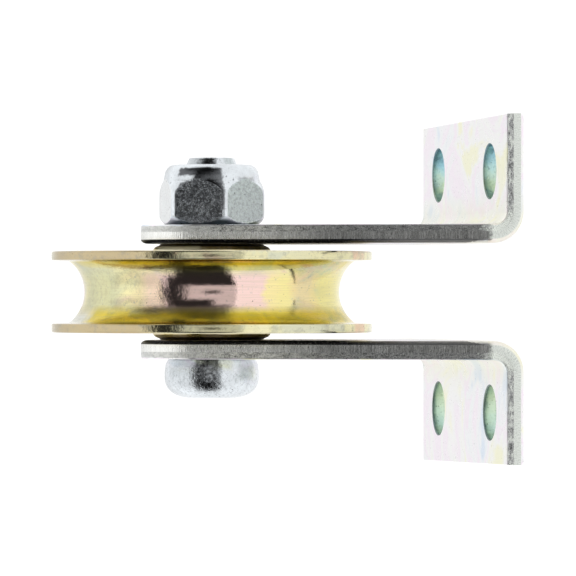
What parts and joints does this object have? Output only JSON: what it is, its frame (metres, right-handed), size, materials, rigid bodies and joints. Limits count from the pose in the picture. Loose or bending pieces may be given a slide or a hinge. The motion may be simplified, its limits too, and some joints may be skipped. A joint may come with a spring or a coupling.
{
  "type": "wire rope pulley",
  "caption": "Grooved steel rope wheel on a ball bearing, held by a bolt and lock nut between two folded plate brackets with drilled feet.",
  "frame": {"origin": "middle of the mounting plane, under the wheel", "axes": "+Z from the mounting plane to the wheel; +X along the bolt towards the nut; +Y across the feet, along the rope's run"},
  "size_m": [0.0656, 0.067, 0.082],
  "materials": {
    "zinc_plate": "bright zinc plate with faint rainbow passivation, sheared edges left rough",
    "zinc_bolt": "bright zinc plate, glossy",
    "zinc_nut": "bright zinc plate, glossy, fine scratches",
    "nylon": "white polyamide",
    "yellow_wheel": "yellow-passivated zinc on turned steel, gold with pink and green bands",
    "yellow_spacer": "yellow-passivated zinc on turned steel",
    "bearing_steel": "ground bearing steel",
    "ball_steel": "polished bearing steel",
    "shield_steel": "pressed bright sheet",
    "spring_steel": "black phosphated spring steel",
    "cage_polyamide": "dark moulded polyamide"
  },
  "bodies": {
    "frame": {"bracket_nut_side": "zinc_plate", "bracket_head_side": "zinc_plate", "pivot_bolt": "zinc_bolt", "lock_nut": "zinc_nut", "nut_insert": "nylon", "bearing_inner_ring": "bearing_steel", "spacer_ring_nut_side": "yellow_spacer", "spacer_ring_head_side": "yellow_spacer"},
    "wheel": {"rope_wheel": "yellow_wheel", "bearing_outer_ring": "bearing_steel", "bearing_shield_nut_side": "shield_steel", "bearing_shield_head_side": "shield_steel", "retaining_ring": "spring_steel"},
    "cage": {"bearing_cage": "cage_polyamide", "bearing_ball_1": "ball_steel", "bearing_ball_2": "ball_steel", "bearing_ball_3": "ball_steel", "bearing_ball_4": "ball_steel", "bearing_ball_5": "ball_steel", "bearing_ball_6": "ball_steel", "bearing_ball_7": "ball_steel"}
  },
  "joints": [
    {"name": "wheel_spin", "type": "hinge", "parent": "frame", "child": "wheel", "pos_m": [0, 0, 0.052], "axis": [1, 0, 0], "continuous": true},
    {"name": "cage_spin", "type": "hinge", "parent": "frame", "child": "cage", "pos_m": [0, 0, 0.052], "axis": [1, 0, 0], "continuous": true}
  ],
  "couplings": [
    {"joint": "cage_spin", "follows": "wheel_spin", "ratio": 0.635}
  ]
}
